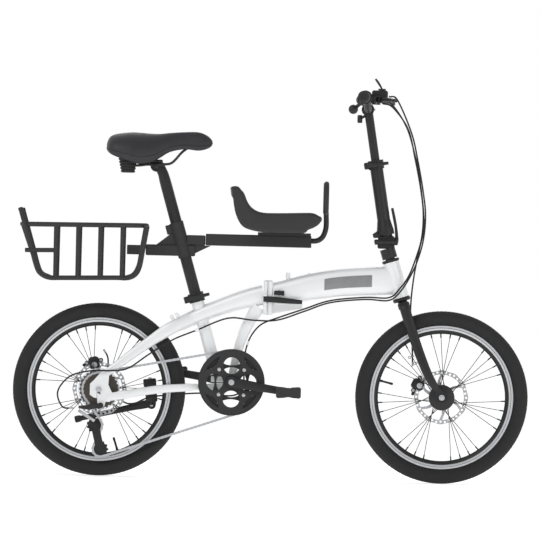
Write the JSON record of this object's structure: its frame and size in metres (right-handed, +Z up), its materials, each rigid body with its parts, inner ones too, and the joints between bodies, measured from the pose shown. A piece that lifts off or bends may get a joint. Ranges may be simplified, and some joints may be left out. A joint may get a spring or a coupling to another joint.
{
  "type": "folding bicycle",
  "caption": "Small-wheeled folding bicycle with a curved main tube, disc brakes, a derailleur, a seatpost carrier with a wire basket, and a child's saddle on a front rail.",
  "frame": {"origin": "centre of the bounding box's underside, on the ground between the wheels", "axes": "+X forwards towards the front wheel, +Y towards the rider's left, +Z up"},
  "size_m": [1.516, 0.5618, 1.1861],
  "materials": {
    "frame_white": "gloss white paint",
    "steel": "bright steel",
    "dark_steel": "dark oiled steel",
    "black_metal": "satin black paint",
    "cable_black": "smooth black plastic sleeve",
    "grip_rubber": "soft black rubber",
    "matte_black": "matte black powder coat",
    "tyre_rubber": "matte black rubber",
    "rim_silver": "satin silver anodising",
    "saddle_cover": "smooth black synthetic leather",
    "seat_foam": "dark grey padded synthetic leather"
  },
  "bodies": {
    "rear_frame": {"rear_frame": "frame_white", "hinge_pin": "steel", "rear_axle": "steel", "bottom_bracket": "dark_steel", "chain": "steel", "derailleur_body": "black_metal", "rear_caliper": "black_metal", "seat_clamp": "black_metal", "gear_cable": "cable_black"},
    "front_frame": {"front_frame": "frame_white", "front_brake_cable": "cable_black", "rear_brake_cable": "cable_black"},
    "steering": {"fork": "black_metal", "stem_base": "black_metal", "handlepost_hinge_pin": "steel", "front_axle": "steel", "front_caliper": "black_metal"},
    "handlepost": {"handlepost": "black_metal"},
    "bars": {"upper_post": "black_metal", "handlebar": "black_metal", "right_grip": "grip_rubber", "left_grip": "grip_rubber", "right_brake_bracket": "black_metal", "left_brake_bracket": "black_metal"},
    "crank": {"right_crank": "black_metal", "left_crank": "black_metal", "chain_guard": "matte_black"},
    "front_wheel": {"front_tyre": "tyre_rubber", "front_rim": "rim_silver", "front_hub": "black_metal", "front_rotor": "steel"},
    "rear_wheel": {"rear_tyre": "tyre_rubber", "rear_rim": "rim_silver", "rear_hub": "black_metal", "rear_rotor": "steel"},
    "seatpost": {"seatpost": "black_metal", "saddle": "saddle_cover", "carrier_clamp": "matte_black", "front_rail": "matte_black", "basket": "matte_black", "child_seat": "seat_foam"},
    "latch_lever": {"latch_lever": "black_metal"},
    "safety_catch": {"safety_catch": "black_metal"},
    "handlepost_latch": {"handlepost_latch": "black_metal"},
    "post_clamp_lever": {"post_clamp_lever": "black_metal"},
    "right_brake_lever": {"right_brake_lever": "black_metal"},
    "left_brake_lever": {"left_brake_lever": "black_metal"},
    "shift_lever": {"shift_lever": "matte_black"},
    "front_caliper_arm": {"front_caliper_arm": "steel"},
    "rear_caliper_arm": {"rear_caliper_arm": "steel"},
    "freewheel": {"freewheel": "dark_steel"},
    "right_pedal": {"right_pedal": "matte_black"},
    "left_pedal": {"left_pedal": "matte_black"},
    "derailleur_link": {"derailleur_link": "steel"},
    "derailleur_knuckle": {"derailleur_knuckle": "black_metal"},
    "derailleur_cage": {"derailleur_cage": "black_metal"},
    "guide_pulley": {"guide_pulley": "matte_black"},
    "tension_pulley": {"tension_pulley": "matte_black"},
    "kickstand_leg": {"kickstand_leg": "black_metal"},
    "seat_clamp_lever": {"seat_clamp_lever": "black_metal"}
  },
  "joints": [
    {"name": "frame_fold", "type": "hinge", "parent": "rear_frame", "child": "front_frame", "pos_m": [-0.0145, 0.034, 0.5355], "axis": [0, 0, 1], "range_deg": [0, 145], "deforming": ["gear_cable", "rear_brake_cable"]},
    {"name": "latch_lever", "type": "hinge", "parent": "rear_frame", "child": "latch_lever", "pos_m": [-0.0215, -0.0365, 0.5295], "axis": [0, 0, -1], "range_deg": [0, 110]},
    {"name": "safety_catch", "type": "hinge", "parent": "front_frame", "child": "safety_catch", "pos_m": [0.019, -0.0335, 0.55], "axis": [0, -1, 0], "range_deg": [0, 60]},
    {"name": "steering", "type": "hinge", "parent": "front_frame", "child": "steering", "pos_m": [0.379, 0, 0.543], "axis": [-0.2974, 0, 0.9548], "range_deg": [-60, 60], "deforming": ["gear_cable", "front_brake_cable", "rear_brake_cable"]},
    {"name": "handlepost_fold", "type": "hinge", "parent": "steering", "child": "handlepost", "pos_m": [0.33, -0.03, 0.7077], "axis": [1, 0, 0], "range_deg": [0, 130], "deforming": ["gear_cable", "front_brake_cable", "rear_brake_cable"]},
    {"name": "handlepost_latch", "type": "hinge", "parent": "handlepost", "child": "handlepost_latch", "pos_m": [0.3605, 0, 0.716], "axis": [0, 1, 0], "range_deg": [0, 30]},
    {"name": "post_clamp_lever", "type": "hinge", "parent": "handlepost", "child": "post_clamp_lever", "pos_m": [0.26562, -0.0163, 0.92928], "axis": [0.1633, 0, -0.9866], "range_deg": [0, 110]},
    {"name": "handlepost_slide", "type": "slide", "parent": "handlepost", "child": "bars", "axis": [-0.1633, 0, 0.9866], "range_m": [-0.05, 0.06], "deforming": ["gear_cable", "front_brake_cable", "rear_brake_cable"]},
    {"name": "right_brake_lever", "type": "hinge", "parent": "bars", "child": "right_brake_lever", "pos_m": [0.298, -0.13, 1.124], "axis": [0, 0, -1], "range_deg": [0, 18], "stiffness_Nm_per_rad": 3},
    {"name": "left_brake_lever", "type": "hinge", "parent": "bars", "child": "left_brake_lever", "pos_m": [0.298, 0.13, 1.124], "axis": [0, 0, 1], "range_deg": [0, 18], "stiffness_Nm_per_rad": 3},
    {"name": "rear_caliper_arm", "type": "hinge", "parent": "rear_frame", "child": "rear_caliper_arm", "pos_m": [-0.5202, 0.052, 0.32415], "axis": [0, 1, 0], "range_deg": [0, 20]},
    {"name": "front_caliper_arm", "type": "hinge", "parent": "steering", "child": "front_caliper_arm", "pos_m": [0.43985, 0.0405, 0.28669], "axis": [0, 1, 0], "range_deg": [0, 20]},
    {"name": "shift_lever", "type": "hinge", "parent": "bars", "child": "shift_lever", "pos_m": [0.306, -0.104, 1.1538], "axis": [0, 0, 1], "range_deg": [-6, 20]},
    {"name": "derailleur_link", "type": "hinge", "parent": "rear_frame", "child": "derailleur_link", "pos_m": [-0.556, -0.053, 0.187], "axis": [0.5384, 0, 0.8427], "range_deg": [-20, 6], "deforming": ["chain"]},
    {"name": "derailleur_knuckle", "type": "hinge", "parent": "derailleur_link", "child": "derailleur_knuckle", "pos_m": [-0.52, -0.053, 0.164], "axis": [0.5384, 0, 0.8427], "range_deg": [-6, 20], "deforming": ["chain"]},
    {"name": "derailleur_cage", "type": "hinge", "parent": "derailleur_knuckle", "child": "derailleur_cage", "pos_m": [-0.5135, -0.031, 0.148], "axis": [0, 1, 0], "range_deg": [-20, 20], "stiffness_Nm_per_rad": 0.5, "deforming": ["chain"]},
    {"name": "guide_pulley", "type": "hinge", "parent": "derailleur_cage", "child": "guide_pulley", "pos_m": [-0.5135, -0.031, 0.148], "axis": [0, 1, 0], "continuous": true},
    {"name": "tension_pulley", "type": "hinge", "parent": "derailleur_cage", "child": "tension_pulley", "pos_m": [-0.4963, -0.031, 0.078], "axis": [0, 1, 0], "continuous": true},
    {"name": "freewheel", "type": "hinge", "parent": "rear_frame", "child": "freewheel", "pos_m": [-0.504, 0, 0.254], "axis": [0, 1, 0], "continuous": true},
    {"name": "crank", "type": "hinge", "parent": "rear_frame", "child": "crank", "pos_m": [-0.115, 0, 0.284], "axis": [0, 1, 0], "continuous": true},
    {"name": "right_pedal", "type": "hinge", "parent": "crank", "child": "right_pedal", "pos_m": [0.05313, 0, 0.25887], "axis": [0, 1, 0], "continuous": true},
    {"name": "left_pedal", "type": "hinge", "parent": "crank", "child": "left_pedal", "pos_m": [-0.28313, 0, 0.30913], "axis": [0, 1, 0], "continuous": true},
    {"name": "front_wheel", "type": "hinge", "parent": "steering", "child": "front_wheel", "pos_m": [0.504, 0, 0.254], "axis": [0, 1, 0], "continuous": true},
    {"name": "rear_wheel", "type": "hinge", "parent": "rear_frame", "child": "rear_wheel", "pos_m": [-0.504, 0, 0.254], "axis": [0, 1, 0], "continuous": true},
    {"name": "kickstand", "type": "hinge", "parent": "rear_frame", "child": "kickstand_leg", "pos_m": [-0.349, 0.056, 0.214], "axis": [-0.0276, -0.9316, -0.3624], "range_deg": [0, 78.2]},
    {"name": "seatpost_slide", "type": "slide", "parent": "rear_frame", "child": "seatpost", "axis": [-0.2823, 0, 0.9593], "range_m": [-0.05, 0.04]},
    {"name": "seat_clamp_lever", "type": "hinge", "parent": "rear_frame", "child": "seat_clamp_lever", "pos_m": [-0.25338, -0.0168, 0.5224], "axis": [0.2823, 0, -0.9593], "range_deg": [0, 110]}
  ],
  "couplings": [
    {"joint": "rear_caliper_arm", "follows": "right_brake_lever", "ratio": 1.1},
    {"joint": "front_caliper_arm", "follows": "left_brake_lever", "ratio": 1.1},
    {"joint": "derailleur_link", "follows": "shift_lever", "ratio": -1},
    {"joint": "derailleur_knuckle", "follows": "shift_lever", "ratio": 1},
    {"joint": "freewheel", "follows": "crank", "ratio": 1.9167}
  ]
}
